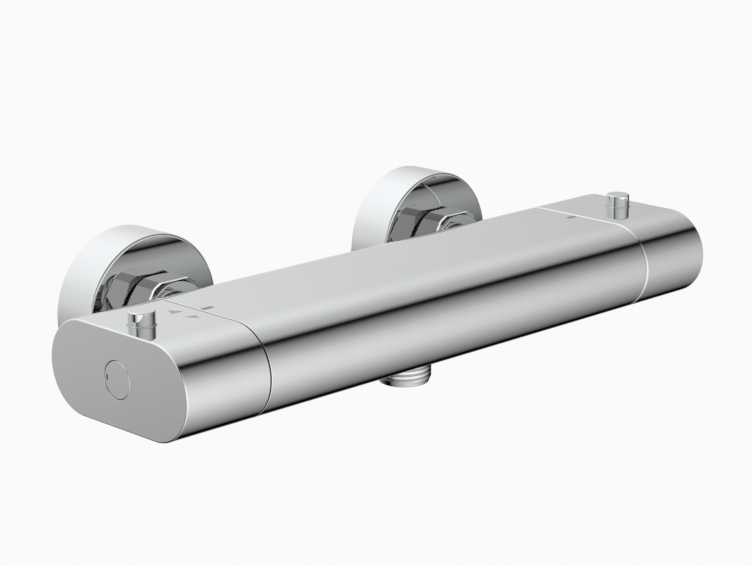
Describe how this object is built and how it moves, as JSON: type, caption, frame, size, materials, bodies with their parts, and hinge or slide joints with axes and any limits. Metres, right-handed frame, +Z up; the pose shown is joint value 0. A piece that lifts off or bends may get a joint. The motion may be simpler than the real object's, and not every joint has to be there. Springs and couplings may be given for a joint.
{
  "type": "thermostatic shower valve",
  "caption": "Flat bar thermostatic shower valve for wall mounting, with a flow handle, a temperature handle, stop buttons, union nuts, cover rosettes and a threaded shower outlet.",
  "frame": {"origin": "on the wall plane, midway between the two inlets and level with the axis of the bar", "axes": "+X along the bar to the right as the user faces it, +Y into the wall, +Z up"},
  "size_m": [0.273, 0.1327, 0.0604],
  "materials": {
    "polished_chrome": "polished chrome plate on brass and zinc",
    "cast_brass": "machined and cast brass",
    "copper": "drawn copper",
    "grey_plastic": "moulded, fine matte",
    "white_plastic": "moulded, fine matte",
    "rubber": "moulded",
    "spring_steel": "bright stainless",
    "ceramic": "lapped"
  },
  "bodies": {
    "valve_body": {"body_shell": "polished_chrome", "waterway": "cast_brass", "end_plates": "grey_plastic", "outlet_nipple": "polished_chrome", "outlet_seal": "rubber", "inlet_seats": "polished_chrome", "inlet_seals": "rubber", "check_valve_housings": "white_plastic", "filter_washers": "rubber", "offset_unions": "polished_chrome", "flow_cartridge": "cast_brass", "flow_gland_nut": "cast_brass", "flow_seals": "rubber", "flow_fixed_disc": "ceramic", "flow_seat_seal": "rubber", "flow_stop_ring": "white_plastic", "thermostat_housing": "cast_brass", "thermostat_gland_nut": "cast_brass", "thermostat_seals": "rubber", "thermostat_screens": "spring_steel", "temperature_stop_ring": "white_plastic"},
    "flow_handle": {"flow_handle": "polished_chrome", "flow_handle_insert": "grey_plastic", "flow_end_cap": "polished_chrome", "flow_handle_screw": "spring_steel", "flow_button_bush": "polished_chrome", "flow_spindle": "cast_brass", "flow_moving_disc": "ceramic", "flow_spindle_seal": "rubber"},
    "flow_button": {"flow_button": "polished_chrome", "flow_button_spring": "spring_steel"},
    "temperature_handle": {"temperature_handle": "polished_chrome", "temperature_handle_insert": "grey_plastic", "temperature_end_cap": "polished_chrome", "temperature_handle_screw": "spring_steel", "temperature_button_bush": "polished_chrome", "temperature_spindle": "cast_brass", "temperature_spindle_seal": "rubber"},
    "temperature_button": {"temperature_button": "polished_chrome", "temperature_button_spring": "spring_steel"},
    "carriage": {"thermostat_carriage": "white_plastic", "overload_plunger": "spring_steel", "overload_spring": "spring_steel"},
    "spool": {"wax_element": "copper", "mixing_spool": "cast_brass", "return_spring": "spring_steel"},
    "left_union_nut": {"left_union_nut": "polished_chrome"},
    "right_union_nut": {"right_union_nut": "polished_chrome"},
    "left_rosette": {"left_rosette": "polished_chrome"},
    "right_rosette": {"right_rosette": "polished_chrome"},
    "left_check_poppet": {"left_check_poppet": "grey_plastic", "left_check_spring": "spring_steel"},
    "right_check_poppet": {"right_check_poppet": "grey_plastic", "right_check_spring": "spring_steel"}
  },
  "joints": [
    {"name": "flow_turn", "type": "hinge", "parent": "valve_body", "child": "flow_handle", "pos_m": [-0.1183, -0.0745, 0], "axis": [1, 0, 0], "range_deg": [0, 90]},
    {"name": "flow_button_press", "type": "slide", "parent": "flow_handle", "child": "flow_button", "axis": [0, 0, -1], "range_m": [0, 0.003], "stiffness_N_per_m": 400, "springref_m": -0.002, "deforming": ["flow_button_spring"]},
    {"name": "temperature_turn", "type": "hinge", "parent": "valve_body", "child": "temperature_handle", "pos_m": [0.1183, -0.0745, 0], "axis": [1, 0, 0], "range_deg": [-120, 60]},
    {"name": "temperature_button_press", "type": "slide", "parent": "temperature_handle", "child": "temperature_button", "axis": [0, 0, -1], "range_m": [0, 0.003], "stiffness_N_per_m": 400, "springref_m": -0.002, "deforming": ["temperature_button_spring"]},
    {"name": "carriage_feed", "type": "slide", "parent": "valve_body", "child": "carriage", "axis": [1, 0, 0], "range_m": [-0.00081, 0.00041]},
    {"name": "spool_regulate", "type": "slide", "parent": "carriage", "child": "spool", "axis": [-1, 0, 0], "range_m": [0, 0.0007], "stiffness_N_per_m": 1500, "springref_m": -0.0015, "deforming": ["return_spring"]},
    {"name": "left_nut_turn", "type": "hinge", "parent": "valve_body", "child": "left_union_nut", "pos_m": [-0.075, -0.026, 0], "axis": [0, 1, 0], "continuous": true},
    {"name": "right_nut_turn", "type": "hinge", "parent": "valve_body", "child": "right_union_nut", "pos_m": [0.075, -0.026, 0], "axis": [0, 1, 0], "continuous": true},
    {"name": "left_rosette_turn", "type": "hinge", "parent": "valve_body", "child": "left_rosette", "pos_m": [-0.075, -0.009, 0], "axis": [0, 1, 0], "continuous": true},
    {"name": "right_rosette_turn", "type": "hinge", "parent": "valve_body", "child": "right_rosette", "pos_m": [0.075, -0.009, 0], "axis": [0, 1, 0], "continuous": true},
    {"name": "left_check_open", "type": "slide", "parent": "valve_body", "child": "left_check_poppet", "axis": [0, -1, 0], "range_m": [0, 0.0025], "stiffness_N_per_m": 60, "springref_m": -0.003, "deforming": ["left_check_spring"]},
    {"name": "right_check_open", "type": "slide", "parent": "valve_body", "child": "right_check_poppet", "axis": [0, -1, 0], "range_m": [0, 0.0025], "stiffness_N_per_m": 60, "springref_m": -0.003, "deforming": ["right_check_spring"]}
  ],
  "couplings": [
    {"joint": "carriage_feed", "follows": "temperature_turn", "m_per_rad": 0.00038197}
  ]
}
